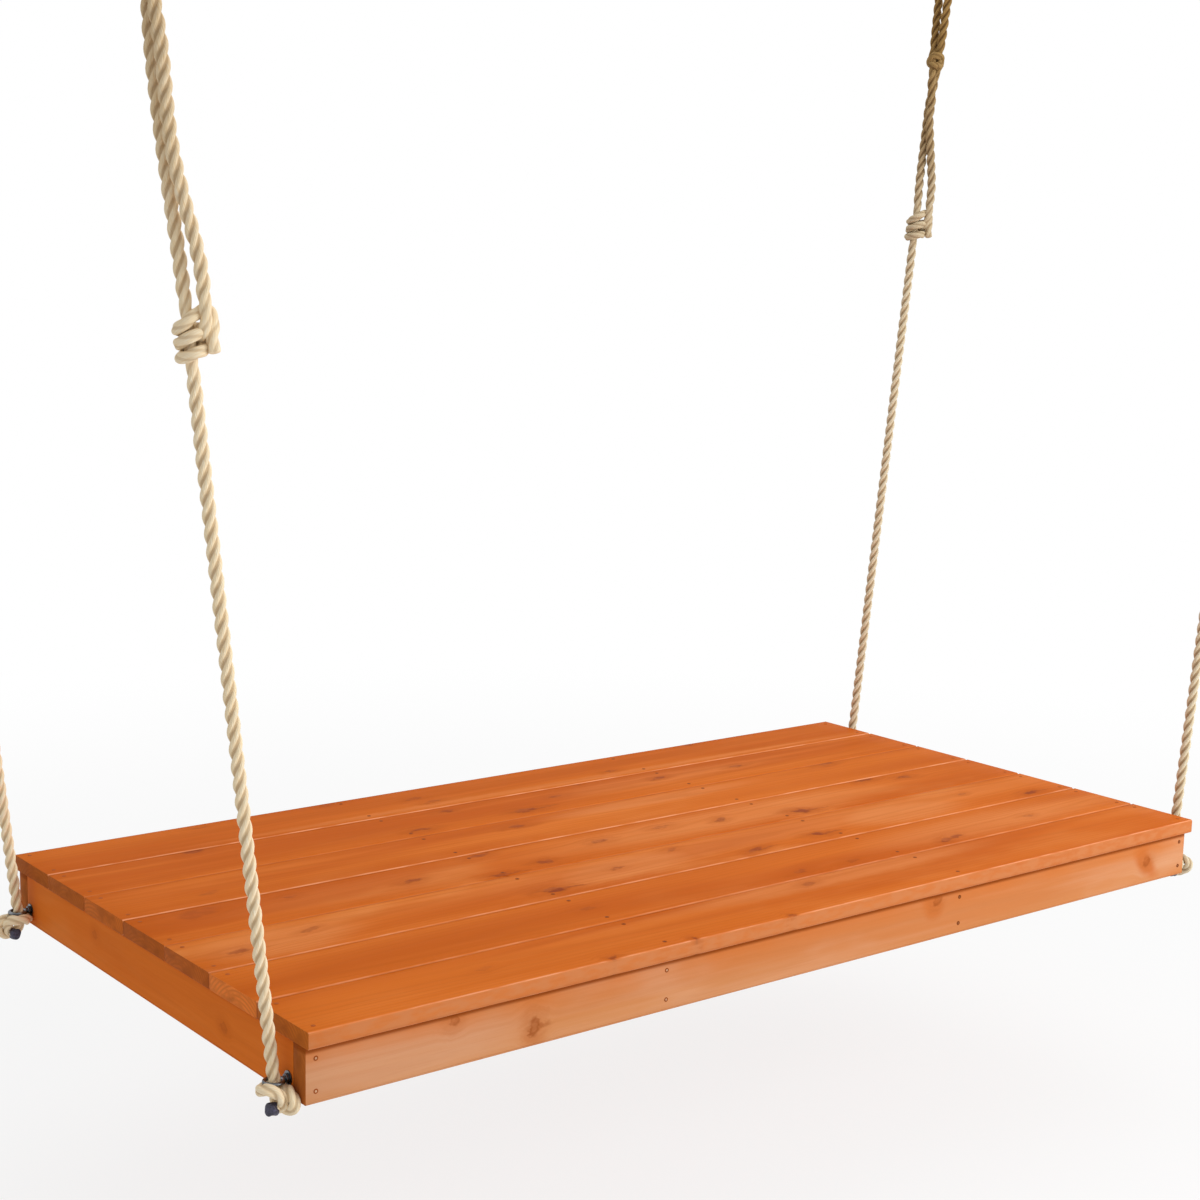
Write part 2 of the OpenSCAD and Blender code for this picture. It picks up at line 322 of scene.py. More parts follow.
def closeEnd(build, depth, ring, middle, outwards, isLast):  # rounds off the strands at one end of a rope
    count = len(ring)
    before = ring
    for shrink, step in ropeShape["endSteps"]:
        inner = []
        for v in ring:
            made = build.verts.new(middle.lerp(v.co, shrink) + outwards * step)
            made[depth] = v[depth] * 0.8
            inner.append(made)
        for k in range(count):
            n = (k + 1) % count
            if isLast:
                face = build.faces.new((before[k], before[n], inner[n], inner[k]))
            else:
                face = build.faces.new((before[n], before[k], inner[k], inner[n]))
            face.smooth = True
        before = inner
    build.faces.new(before if isLast else before[::-1])


def laidRope(name, line, radius, fullness):  # a three-strand rope round a line, thin where fullness says
    spokes = [(120 * strand + a, strandEdge(a)) for strand in range(3) for a in ropeShape["grooveAngles"]]
    mesh = bpy.data.meshes.new(name)
    build = bmesh.new()
    uvMap = build.loops.layers.uv.new("along")
    depth = build.verts.layers.float.new("groove")
    ahead = (line[1] - line[0]).normalized()
    side = ahead.orthogonal().normalized()
    rings, places, walked = [], [], 0.0
    for i, spot in enumerate(line):
        nextAhead = (line[min(i + 1, len(line) - 1)] - line[max(i - 1, 0)]).normalized()
        side = ahead.rotation_difference(nextAhead) @ side
        side = (side - nextAhead * side.dot(nextAhead)).normalized()
        ahead = nextAhead
        if i:
            walked += (spot - line[i - 1]).length
        twist = 360 * walked / ropeShape["turn"]
        across = ahead.cross(side)
        full, smooth = fullness(spot)
        ring = []
        for angle, edge in spokes:
            a = math.radians(angle + twist)
            reach = radius * full * (edge + (1 - edge) * smooth)
            v = build.verts.new(spot + (side * math.cos(a) + across * math.sin(a)) * reach)
            v[depth] = (1 - smooth * 0.5) * (1 - edge) / (1 - ropeShape["groove"])
            ring.append(v)
        rings.append(ring)
        places.append((walked, twist))
    count = len(spokes)
    for i in range(len(rings) - 1):
        for k in range(count):
            n = (k + 1) % count
            face = build.faces.new((rings[i][k], rings[i][n], rings[i + 1][n], rings[i + 1][k]))
            face.smooth = True
            first = spokes[k][0]
            last = spokes[n][0] + (360 if n == 0 else 0)
            faceCorners = ((first, i), (last, i), (last, i + 1), (first, i + 1))
            for loop, (angle, where) in zip(face.loops, faceCorners):
                loop[uvMap].uv = ((angle + places[where][1]) / 360, places[where][0])
    closeEnd(build, depth, rings[0], line[0], (line[1] - line[0]).normalized() * -1 * radius, False)
    closeEnd(build, depth, rings[-1], line[-1], (line[-1] - line[-2]).normalized() * radius, True)
    build.normal_update()
    build.to_mesh(mesh)
    build.free()
    piece = bpy.data.objects.new(name, mesh)
    scene.collection.objects.link(piece)
    return piece


ropeLook = {
    # the groove tones are painted shade in the grooves between the strands
    "plain": "F0D4A8", "pale": "FBF1DA", "patch": "F0DAB2", "groove": "B08C60",
    # the darker tones the rope takes higher up
    "upperPlain": "98743E", "upperPale": "BA945C", "upperGroove": "5E3C1A",
    "darkenHeights": (-0.80, -0.05),  # heights between which the rope darkens
    "paintedShadeSpan": (-0.9, 0.9),        # places from left to right over which painted light gives way to painted shade
    "leftPaintedLight": (1.05, 1.05, 1.04, 1),
    "rightPaintedShade": (0.85, 0.88, 0.90, 1),
    "yarns": 24,                 # round the rope
    "roughness": 0.85,
    "gloss": 0.12,
    "relief": 0.0006,
}


def ropeFinish():
    f = Finish("manilaRope")
    tone = ropeLook
    u, v, _ = f.split(f.make("ShaderNodeUVMap", {"uv_map": "along"}).out(0))
    groove = f.make("ShaderNodeAttribute", {"attribute_name": "groove"}).out("Fac")
    place = f.here()
    fibres = f.noise(f.join(u * 60, v * 70, 0.0), 1.0, 3.0, 0.6)
    sway = f.noise(f.join(u * 6, v * 18, 0.0), 1.0) * 5
    yarns = (u * (2 * math.pi * tone["yarns"]) + sway).sine() * 0.5 + 0.5
    patches = f.noise(place, 9.0, 3.0)
    sideways, _, height = f.split(place)
    # how far to the right a spot is, where the painted shade grows
    right = sideways.ease(*tone["paintedShadeSpan"])
    # the rope is darker and browner higher up, more so on the right-hand ropes, which carry painted shade
    upperShare = (height + patches * 0.2).ease(*tone["darkenHeights"]) * (right * 0.35 + 0.65)
    pale = fibres.ease(0.3, 0.75)
    light = f.blend(pale, linear(tone["plain"]), linear(tone["pale"]))
    light = f.blend(patches.ease(0.35, 0.7) * 0.35, light, linear(tone["patch"]))
    # the rope's darker tone higher up
    worn = f.blend(pale, linear(tone["upperPlain"]), linear(tone["upperPale"]))
    light = f.blend(upperShare, light, worn)
    deep = f.blend(upperShare, linear(tone["groove"]), linear(tone["upperGroove"]))
    # darker in the grooves between the strands: painted shade, deepest on the right-hand ropes
    colour = f.blend(groove.ease(0.25, 1.0) * (right * 0.2 + 0.6), light, deep)
    # painted light on the left-hand ropes and painted shade on the right-hand ones
    colour = f.blend(1.0, colour, f.blend(right, tone["leftPaintedLight"], tone["rightPaintedShade"]), "MULTIPLY")
    return f.done(
        Base_Color=colour,
        Roughness=tone["roughness"],
        Specular_IOR_Level=tone["gloss"],
        Normal=f.bump(yarns * 0.5 + fibres * 0.8, tone["relief"], 0.7),
    )


tapeLook = {"dark": "2A2838", "worn": "54506A", "grain": 260.0, "roughness": 0.38, "relief": 0.0004}


def tapeFinish():
    f = Finish("darkTape")
    wear = f.noise(f.here(), tapeLook["grain"], 3.0, 0.6)
    colour = f.blend(wear.ease(0.35, 0.75), linear(tapeLook["dark"]), linear(tapeLook["worn"]))
    rough = wear * 0.25 + tapeLook["roughness"]
    return f.done(Base_Color=colour, Roughness=rough, Normal=f.bump(wear, tapeLook["relief"], 0.5))


def cornerFrame(corner, level=False):  # from a corner's ring up its rope or straight up, turned as its knots
    sideX, sideY, _ = corners[corner]
    ring = Vector((sideX * ringSpot.x, sideY * ringSpot.y, ringSpot.z))
    lean = 0 if level else sideX * ropeFit["lean"]
    upright = Matrix.Rotation(math.radians(lean), 4, "Y")
    return Matrix.Translation(ring) @ upright @ Matrix.Rotation(math.radians(ropeFit["knotTurn"]), 4, "Z")


def route(corner, points, level=False):  # points in a corner's frame, in millimetres, set in the room
    place = cornerFrame(corner, level)
    return [place @ Vector((x / 1000, y / 1000, z / 1000)) for x, y, z in points]


def stopperPoints(corner):
    form = knotForms[corner]
    top = stopperShape["level"]
    points = []
    for x, y, z in stopperRoute:
        z = min(z, top + (z - top) * form["flat"])
        z += form["lift"] * min(1.0, max(0.0, (x - stopperShape["liftFrom"]) / stopperShape["liftOver"]))
        points.append((x * form["hand"], y, z))
    return points


def lowerRope(corner):  # up from the ring, through its hitch, round the link and back down into the hitch
    row = corner.split("_")[0]
    knot = ropeFit["hitch"][row] * 1000
    link = ropeFit["link"] * 1000
    pairX, pairY = loopShape["pair"][row]
    part = knot + loopShape["part"]
    beside = knot + loopShape["beside"]
    half = (link - loopShape["below"] + knot + loopShape["beside"]) / 2
    through = (knot - loopShape["below"], knot, knot + loopShape["above"])
    standing = (loopShape["start"], *loopShape["straight"], *through)
    up = [(0, 0, z) for z in standing] + [(-2, 3, part), (-pairX, pairY, beside), (-pairX, pairY, half)]
    bight = [(x, y, link + z) for x, y, z in bightRoute]
    down = [(pairX, -pairY, half), (pairX, -pairY, beside), (22, -4, part)]
    hitch = [(x, y, knot + z) for x, y, z in hitchRoute]
    return smoothLine(route(corner, up + bight + down + hitch), ropeShape["ringEvery"])


def upperRope(corner):  # doubled over the hook, its two ends meeting in the link's bight
    link = ropeFit["link"] * 1000
    turn = math.radians(-ropeFit["knotTurn"])
    reach = slingShape["reach"]
    top = []
    for a in range(0, 181, slingShape["bendStep"]):  # over the hook's wire
        y = -reach * math.cos(math.radians(a))
        z = ropeFit["length"] * 1000 + reach * math.sin(math.radians(a))
        top.append((-math.sin(turn) * y, math.cos(turn) * y, z))
    half = [(x, y, link + z) for x, y, z in slingRoute]

    def leg(start, end):  # closes in on the hook, so that the rope bends over it without a fold
        return [[p + (q - p) * share for p, q in zip(start, end)] for share in slingShape["closeIn"]]

    points = half[6:] + leg(half[-1], top[0]) + top + leg(half[0], top[-1])[::-1] + half[:7]
    return smoothLine(route(corner, points), ropeShape["ringEvery"])


def pulledThin(corner):  # how full and how smooth the rope is at a spot, thin and smooth near its knots
    away = cornerFrame(corner).inverted()
    knot = ropeFit["hitch"][corner.split("_")[0]]

    def fullness(spot):
        height = (away @ spot).z
        fromHitch = abs(height - knot) - pulledShape["hitchReach"]
        fromLink = abs(height - ropeFit["link"]) - pulledShape["linkReach"]
        share = min(1.0, max(0.0, min(fromHitch, fromLink) / pulledShape["easeOver"]))
        pulled = 1 - share * share * (3 - 2 * share)
        return 1 - (1 - pulledShape["thin"]) * pulled, pulledShape["smooth"] * pulled

    return fullness


manilaRope = ropeFinish()
darkTape = tapeFinish()
ropeRadius = ropeShape["thick"] / 2
for corner, (sideX, sideY, body) in corners.items():
    knotLine = smoothLine(route(corner, stopperPoints(corner), level=True), stopperShape["ringEvery"])
    knotRadius = ropeRadius * stopperShape["thin"]
    knot = laidRope("stopperKnot_" + corner, knotLine, knotRadius, lambda spot: (1.0, stopperShape["smooth"]))
    knot.data.materials.append(manilaRope)
    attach(knot, "platform")
    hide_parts("stopper_knot_" + corner)

    ahead = (knotLine[-1] - knotLine[-4]).normalized()
    tapeLine = [knotLine[-1] + ahead * t for t in tapeShape["rings"]]
    tapeRadius = ropeRadius * tapeShape["thick"]
    tail = laidRope("tailTape_" + corner, tapeLine, tapeRadius, lambda spot: (1.0, tapeShape["smooth"]))
    tail.data.materials.append(darkTape)
    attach(tail, "platform")
    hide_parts("tail_tape_" + corner)

    lowerLine = lowerRope(corner)
    lower = laidRope("lowerRope_" + corner, lowerLine, ropeRadius, pulledThin(corner))
    lower.data.materials.append(manilaRope)
    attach(lower, body)
    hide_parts("rope_" + corner, "hitch_" + corner, "loop_" + corner, "link_" + corner)
    lineLength(lowerLine)

    upperLine = upperRope(corner)
    upper = laidRope("upperRope_" + corner, upperLine, ropeRadius, pulledThin(corner))
    upper.data.materials.append(manilaRope)
    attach(upper, body)
    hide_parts("sling_" + corner)
    lineLength(upperLine)
    print("ropes", corner, [round(lineLength(line), 3) for line in (lowerLine, upperLine, knotLine)])


def deselect():
    if bpy.context.mode != "OBJECT":
        bpy.ops.object.mode_set(mode="OBJECT")
    bpy.ops.object.select_all(action="DESELECT")


def pick(test, kind="EDGE"):  # in edit mode, selects the edges or faces that pass a test
    mesh = bpy.context.object.data
    bpy.ops.mesh.select_mode(type=kind)
    bpy.ops.mesh.select_all(action="DESELECT")
    build = bmesh.from_edit_mesh(mesh)
    for e in build.edges if kind == "EDGE" else build.faces:
        e.select_set(test(e))
    bmesh.update_edit_mesh(mesh)


woodShape = {
    "boardEdge": 0.004, "railEdge": 0.003, "edgeSteps": 5,  # how far the long edges are rounded
    "endEdge": 0.0012, "endSteps": 2,
    "slices": 26, "waviness": 0.0007, "waveSize": 0.11, "waveMiddle": 0.75,
    "smoothUnder": 35,                                      # degrees
}


# a planed board or rail with eased edges and a slight wave
def woodPiece(name, node, along, edgeRound, body, finish):
    deselect()
    low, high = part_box(node)
    bpy.ops.mesh.primitive_cube_add(size=1, location=(low + high) / 2, scale=high - low)
    piece = bpy.context.object
    piece.name = name
    bpy.ops.object.transform_apply(location=True, rotation=True, scale=True)
    bpy.ops.object.mode_set(mode="EDIT")
    length = high[along] - low[along]
    middle = (low + high)[along] / 2

    def isLong(edge):
        return abs(edge.verts[0].co[along] - edge.verts[1].co[along]) > length * 0.9

    def isEnd(edge):
        return all(abs(v.co[along] - middle) > length * 0.4999 for v in edge.verts)

    pick(isLong)
    bpy.ops.mesh.bevel(offset=edgeRound, segments=woodShape["edgeSteps"], affect="EDGES")
    pick(isEnd)
    bpy.ops.mesh.bevel(offset=woodShape["endEdge"], segments=woodShape["endSteps"], affect="EDGES")
    pick(isLong)
    bpy.ops.mesh.subdivide(number_cuts=woodShape["slices"])
    bpy.ops.object.mode_set(mode="OBJECT")
    clouds = bpy.data.textures.new(name + "Waves", "CLOUDS")
    clouds.noise_scale = woodShape["waveSize"]
    wave = piece.modifiers.new("waves", "DISPLACE")
    wave.texture = clouds
    wave.strength = woodShape["waviness"]
    wave.mid_level = woodShape["waveMiddle"]
    bpy.ops.object.modifier_apply(modifier="waves")
    bpy.ops.object.select_all(action="DESELECT")
    piece.select_set(True)
    bpy.ops.object.shade_smooth_by_angle(angle=math.radians(woodShape["smoothUnder"]))
    piece.data.materials.append(finish)
    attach(piece, body)
    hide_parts(node)


def ellipse(f, flat, where, side, reach, width, slant):  # how far out of an ellipse, 1 at its edge
    spot = f.make(
        "ShaderNodeMapping",
        {"vector_type": "TEXTURE"},
        {"Vector": flat, "Location": (where, side, 0), "Rotation": (0, 0, slant), "Scale": (reach, width, 1)},
    ).out(0)
    return f.make("ShaderNodeVectorMath", {"operation": "LENGTH"}, {0: spot}).out("Value")


def knotMarks(f, wood, flat, a, middle):  # how dark the knots and halos are, and the grain bent round them
    knotMark = 0.0
    knotHalo = 0.0
    shifted = a
    for where, side, reach, width, strength, slant in wood["knots"]:
        beside = side - middle
        far = ellipse(f, flat, where, beside, reach, width, slant)
        shifted = shifted - (a - beside) * far.ease(3.2, 0.4, 0.0, 0.75)
        mark = far.ease(0.85, 0.4, 0.0, strength)
        if "hollow" in wood:  # a small knot cut straight across, paler inside its rim
            mark = mark * far.ease(0.25, 0.6, 1 - wood["hollow"], 1.0)
        knotMark = mark.most(knotMark)
        knotHalo = far.ease(2.4, 0.7, 0.0, strength).most(knotHalo)
        if strength > woodLook["tailFrom"]:  # a large knot trails a thin dark tail
            tail = ellipse(f, flat, where + reach * 0.6, beside, reach * 2.0, width * 0.28, slant * 0.5)
            knotMark = tail.ease(1.1, 0.4, 0.0, strength * 0.5).most(knotMark)
    return knotMark, knotHalo, shifted


def patchMarks(f, wood, soft, middle):  # how strong the paler patches, which are painted sheen, and the darker patches are
    shine = 0.0
    shade = 0.0
    for where, side, reach, width, strength in wood.get("patches", ()):
        cloud = ellipse(f, soft, where, side - middle, reach, width, 0).ease(1.25, 0.45, 0.0, abs(strength))
        if strength > 0:
            shine = cloud.most(shine)
        else:
            shade = cloud.most(shade)
    return shine, shade


def woodFinish(name, node, axes, wood):  # cedar with an orange stain
    low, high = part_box(node)
    middle = (low + high) / 2
    size = high - low
    along, across, deep = axes
    top = size[across] / 2
    f = Finish(name)
    spots = f.split(f.here())
    l = spots[along]
    a = spots[across] - middle[across]
    d = spots[deep] - middle[deep]
    seed = wood["seed"]
    tone = {key: linear(code) for key, code in wood["tone"].items()}

    # each noise is drawn out along the piece: what l, a and d are multiplied by is how close its marks come
    drift = f.noise(f.join(l * 1.6 + seed, a * 5, d * 5), 1.0, 2.0) - 0.5
    rough = f.noise(f.join(l * 34 + seed, a * 55, 0.0), 1.0, 2.0) - 0.5
    fine = f.noise(f.join(l * 130 + seed, a * 190, 0.0), 1.0, 2.0) - 0.5
    wobble = wood.get("wobble", 1.0)
    raggedLong = l + rough * (0.040 * wobble) + fine * 0.012
    raggedWide = a + rough * (0.020 * wobble) + fine * 0.009
    flat = f.join(raggedLong, raggedWide, 0.0)
    knotMark, knotHalo, shifted = knotMarks(f, wood, flat, a, middle[across])
    soft = f.join(l + drift * 0.25, a + rough * 0.012, 0.0)
    shine, shade = patchMarks(f, wood, soft, middle[across])

    # growth rings round a heart that leans along the piece
    heart = wood["heart"]
    ringA = shifted - heart[0] + drift * 0.03
    ringD = d - heart[1] - l * heart[2]
    ringFar = (ringA * ringA + ringD * ringD) ** 0.5
    ring = (ringFar * (2 * math.pi / wood["ringGap"]) + drift * 6).sine() * 0.5 + 0.5
    lateWood = ring.ease(0.55, 1.0)
    streak = f.noise(f.join(l * 1.3 + seed, shifted * 26, d * 26), 1.0, 3.0, 0.55)
    band = f.noise(f.join(l * 0.7 - seed, shifted * 8 + seed, d * 6), 1.0, 2.0)
    fibre = f.noise(f.join(l * 9, shifted * 420, d * 420 + seed), 1.0, 3.0, 0.65)
    patch = f.noise(f.join(l * 3.0 + seed, a * 9, seed), 1.0, 3.0, 0.55)

    # the broad faces
    colour = f.blend(band.ease(0.35, 0.65), tone["deep"], tone["plain"])
    colour = f.blend(streak.ease(0.48, 0.78) * woodLook["streaks"], colour, tone["pale"])
    # paler pinkish patches at random: painted sheen
    colour = f.blend(patch.ease(0.5, 0.8) * wood["paintedSheen"], colour, tone["paintedSheen"])
    # the paler patches: painted sheen
    colour = f.blend(shine * streak.ease(0.3, 0.6, 0.7, 1.0), colour, tone["shine"])
    colour = f.blend(shade, colour, tone["shade"])
    colour = f.blend(lateWood * wood["ringMark"], colour, tone["ring"])
    colour = f.blend(fibre.ease(0.45, 0.8) * woodLook["fibres"], colour, tone["ring"])
    if "nearBoards" in tone:  # darker and more orange towards the boards above
        cloudy = f.noise(f.join(l * 7 + seed, 0.0, 0.0), 1.0, 2.0).ease(0.3, 0.65, 0.35, 1.0)
        colour = f.blend(a.ease(-0.004, top - 0.008) * cloudy * 0.6, colour, tone["nearBoards"])
    swirl = f.noise(f.join(l * 30, shifted * 170, seed), 1.0, 3.0, 0.6).ease(0.32, 0.58, 0.45, 1.0)
    colour = f.blend(knotHalo * swirl * woodLook["halos"], colour, tone["halo"])
    colour = f.blend(knotMark * swirl * woodLook["knots"], colour, tone["knot"])

    # the cut ends
    endCut = abs(l - middle[along]) > size[along] / 2 - woodLook["endDeep"]
    blotch = f.noise(f.join(seed, a * 34, d * 60), 1.0, 2.0).ease(0.35, 0.7)
    endMark = (ring.ease(0.2, 0.9) * 0.6).most(blotch) * 0.45
    colour = f.blend(endCut, colour, f.blend(endMark, linear(wood["end"]), tone["endRing"]))

    # the painted shadow under the boards, the narrow sides and the painted highlight along the edges
    if "paintedBoardShadow" in tone:
        # a painted shadow: a dark band just under the boards' overhang
        colour = f.blend(a.ease(top - 0.0125, top - 0.0065) * 0.85, colour, tone["paintedBoardShadow"])
    face = abs(a) > top - woodLook["sideDeep"]
    mottle = 0.75
    if "mottle" in wood:
        mottle = f.noise(f.join(l * 30 + seed, 0.0, d * 90), 1.0, 3.0).ease(0.35, 0.62, 0.6, 0.95)
    colour = f.blend(face * (1 - endCut) * mottle, colour, tone["side"])
    # a painted highlight along the long edges, stronger on the edge on the negative side (the front one on a
    # board, the lower one on a rail), broken up by noise
    edge = (1 - face) * abs(a).ease(top - wood["edgeWidth"], top - wood["edgeWidth"] * 0.35)
    front = (a * -1000).ease(0, 1)
    worn = edge * (front * (wood["edgeHighlight"] - wood["backHighlight"]) + wood["backHighlight"])
    worn = worn * f.noise(f.join(l * 16 + seed, 0.0, d * 120), 1.0, 2.0).ease(0.35, 0.62, 0.35, 1.0)
    worn = worn * (1 - endCut) * (1 - knotHalo * 0.8)
    colour = f.blend(worn, colour, tone["worn"])

    height = fibre * 0.6 - lateWood * 0.25 + knotMark * 0.8
    return f.done(
        Base_Color=colour,
        Roughness=fibre * 0.16 + woodLook["roughness"] - knotMark * 0.1,
        Specular_IOR_Level=woodLook["gloss"],
        Normal=f.bump(height, woodLook["relief"], 0.45),
    )


woodLook = {  # how strongly each marking shows, and the surface
    "streaks": 0.6, "fibres": 0.22, "halos": 0.5, "knots": 0.9, "tailFrom": 0.85,
    "endDeep": 0.0007, "sideDeep": 0.0008,  # how deep the end grain's and the sides' tones go
    "roughness": 0.5, "gloss": 0.025, "relief": 0.0005,
}
# the tones for the paler patches here stand for painted sheen, and the pale edge tone for a painted highlight
# along the edges
deckTone = {
    "plain": "D66E20", "deep": "C65D14", "pale": "E27E32", "paintedSheen": "E48C48", "ring": "B85816",
    "halo": "B0500E", "knot": "8C380A", "endRing": "84421A", "worn": "EFA478", "shine": "E28A4C",
    "shade": "C45E14", "side": "D08250",
}
# the tones for the paler patches here stand for painted sheen, the pale edge tone for a painted highlight
# along the edges, and the dark brown of the band under the boards for a painted shadow
railTone = {
    "plain": "D28E5A", "deep": "CE804B", "pale": "DA9E76", "paintedSheen": "DEAC8A", "ring": "BF7440",
    "halo": "B8652E", "knot": "90400E", "endRing": "8A4A20", "worn": "E8AC84", "shine": "DAA684",
    "shade": "C86A2C", "side": "D28E5A", "nearBoards": "D47634", "paintedBoardShadow": "94460F",
}
endRailTone = dict(deckTone, plain="E27828", deep="D66A1E", pale="EA8638", ring="C6641E")

# each knot is along, across, half length, half width, strength and slant, the first four in metres
# each patch is the same without the slant, a painted sheen above 0 and darker below
boards = {
    1: {
        "end": "C26A26", "edgeHighlight": 0.9, "mottle": True, "heart": (0.03, -0.06, 0.012), "paintedSheen": 0.35,
        "patches": [(0.15, -0.38, 0.36, 0.035, 0.7), (-0.45, -0.44, 0.35, 0.05, -0.35)],
        "knots": [
            (0.064, -0.383, 0.022, 0.011, 0.5, 0.1), (-0.438, -0.493, 0.011, 0.014, 0.8, 0),
            (-0.28, -0.493, 0.009, 0.012, 0.9, 0), (-0.079, -0.493, 0.008, 0.012, 0.8, 0),
            (-0.62, -0.42, 0.02, 0.009, 0.25, 0.1),
        ],
    },
    2: {
        "end": "F0843A", "edgeHighlight": 0.55, "heart": (-0.02, -0.05, 0.02), "paintedSheen": 0.2,
        "patches": [(0.62, -0.29, 0.36, 0.06, 0.6), (-0.62, -0.3, 0.34, 0.07, -0.6)],
        "knots": [
            (-0.324, -0.283, 0.024, 0.01, 0.35, 0), (0.457, -0.327, 0.024, 0.013, 0.9, 0.35),
            (0.49, -0.322, 0.016, 0.01, 0.7, -0.3), (0.709, -0.302, 0.02, 0.011, 0.5, 0.1),
            (0.1, -0.325, 0.026, 0.012, 0.5, 0.2), (0.218, -0.328, 0.024, 0.01, 0.4, 0),
        ],
    },
    3: {
        "end": "C06428", "edgeHighlight": 0.8, "heart": (0.02, -0.07, -0.015), "paintedSheen": 0.9,
        "patches": [
            (-0.8, -0.15, 0.14, 0.06, 0.75), (-0.15, -0.14, 0.2, 0.06, 0.75), (0.52, -0.15, 0.16, 0.06, 0.75),
            (0.2, -0.12, 0.9, 0.05, 0.35),
        ],
        "knots": [
            (-0.875, -0.156, 0.03, 0.013, 0.7, 0.1), (-0.737, -0.127, 0.022, 0.01, 0.5, 0.2),
            (-0.31, -0.174, 0.034, 0.017, 1.1, -0.15), (-0.149, -0.136, 0.018, 0.009, 0.6, 0),
            (-0.003, -0.103, 0.016, 0.009, 0.45, 0), (0.124, -0.185, 0.03, 0.012, 0.9, 0.2),
            (0.289, -0.173, 0.028, 0.014, 0.9, -0.3), (0.85, -0.189, 0.026, 0.012, 0.9, 0),
            (0.726, -0.121, 0.015, 0.008, 0.35, 0),
        ],
    },
    4: {
        "end": "B96025", "edgeHighlight": 0.15, "heart": (-0.01, -0.06, 0.01), "paintedSheen": 0.6,
        "patches": [(0.2, 0.0, 0.44, 0.06, 0.6), (-0.55, 0.0, 0.25, 0.05, 0.25)],
        "knots": [
            (-0.839, 0.039, 0.06, 0.03, 0.35, 0.2), (-0.684, 0.033, 0.02, 0.01, 0.6, 0),
            (-0.475, -0.005, 0.026, 0.013, 0.85, 0.1), (-0.335, -0.059, 0.03, 0.012, 0.9, -0.1),
            (-0.304, 0.053, 0.03, 0.012, 0.75, 0.1), (-0.228, -0.039, 0.024, 0.015, 0.85, -0.3),
            (-0.072, 0.012, 0.026, 0.013, 0.75, 0), (0.076, 0.02, 0.026, 0.012, 0.6, 0),
            (0.203, -0.002, 0.02, 0.013, 0.75, 0.3), (0.371, -0.039, 0.03, 0.016, 0.95, -0.3),
            (0.643, 0.064, 0.03, 0.014, 0.85, 0), (0.728, 0.035, 0.026, 0.012, 0.75, -0.2),
        ],
    },
    5: {
        "end": "D06E2B", "edgeHighlight": 1.0, "heart": (0.04, -0.05, 0.015), "paintedSheen": 0.3,
        "patches": [(0.22, 0.18, 0.24, 0.03, 0.65), (-0.6, 0.12, 0.3, 0.05, -0.25)],
        "knots": [
            (-0.137, 0.17, 0.026, 0.013, 0.75, 0), (0.67, 0.204, 0.03, 0.013, 0.8, 0.1),
            (-0.78, 0.12, 0.02, 0.01, 0.3, 0),
        ],
    },
    6: {
        "end": "B86227", "edgeHighlight": 0.2, "heart": (0.0, -0.055, -0.02), "paintedSheen": 0.2,
        "patches": [(0.3, 0.3, 0.3, 0.04, 0.3), (-0.5, 0.28, 0.3, 0.05, -0.2)],
        "knots": [
            (-0.696, 0.345, 0.03, 0.014, 0.85, 0.1), (-0.191, 0.322, 0.024, 0.012, 0.75, 0),
            (-0.293, 0.246, 0.03, 0.013, 0.85, 0), (-0.059, 0.251, 0.034, 0.015, 1.0, -0.1),
            (0.046, 0.3, 0.022, 0.01, 0.6, 0), (0.304, 0.301, 0.022, 0.011, 0.7, 0),
            (0.5, 0.291, 0.026, 0.012, 0.75, 0.1), (0.136, 0.35, 0.018, 0.008, 0.5, 0),
        ],
    },
    7: {
        "end": "B36026", "edgeHighlight": 1.0, "heart": (-0.03, -0.06, 0.01), "paintedSheen": 0.15,
        "patches": [(0.0, 0.44, 0.95, 0.025, -0.7), (0.1, 0.375, 0.8, 0.014, 0.5)],
        "knots": [
            (-0.621, 0.473, 0.02, 0.009, 0.4, 0), (-0.351, 0.483, 0.024, 0.009, 0.4, 0),
            (-0.191, 0.432, 0.022, 0.011, 0.5, 0), (-0.171, 0.397, 0.026, 0.011, 0.55, 0.1),
            (0.257, 0.399, 0.024, 0.01, 0.6, 0), (0.538, 0.486, 0.024, 0.01, 0.5, 0),
        ],
    },
}
for i, board in boards.items():
    node = "deck_board_" + str(i)
    wood = {
        "seed": i * 3.7, "ringGap": 0.0065, "ringMark": 0.16, "edgeWidth": 0.0036, "backHighlight": 0.25,
        "tone": deckTone,
    }
    wood.update(board)
    finish = woodFinish("deckStain" + str(i), node, (0, 1, 2), wood)
    woodPiece("deckBoard" + str(i), node, 0, woodShape["boardEdge"], "platform", finish)
print("deck boards made")

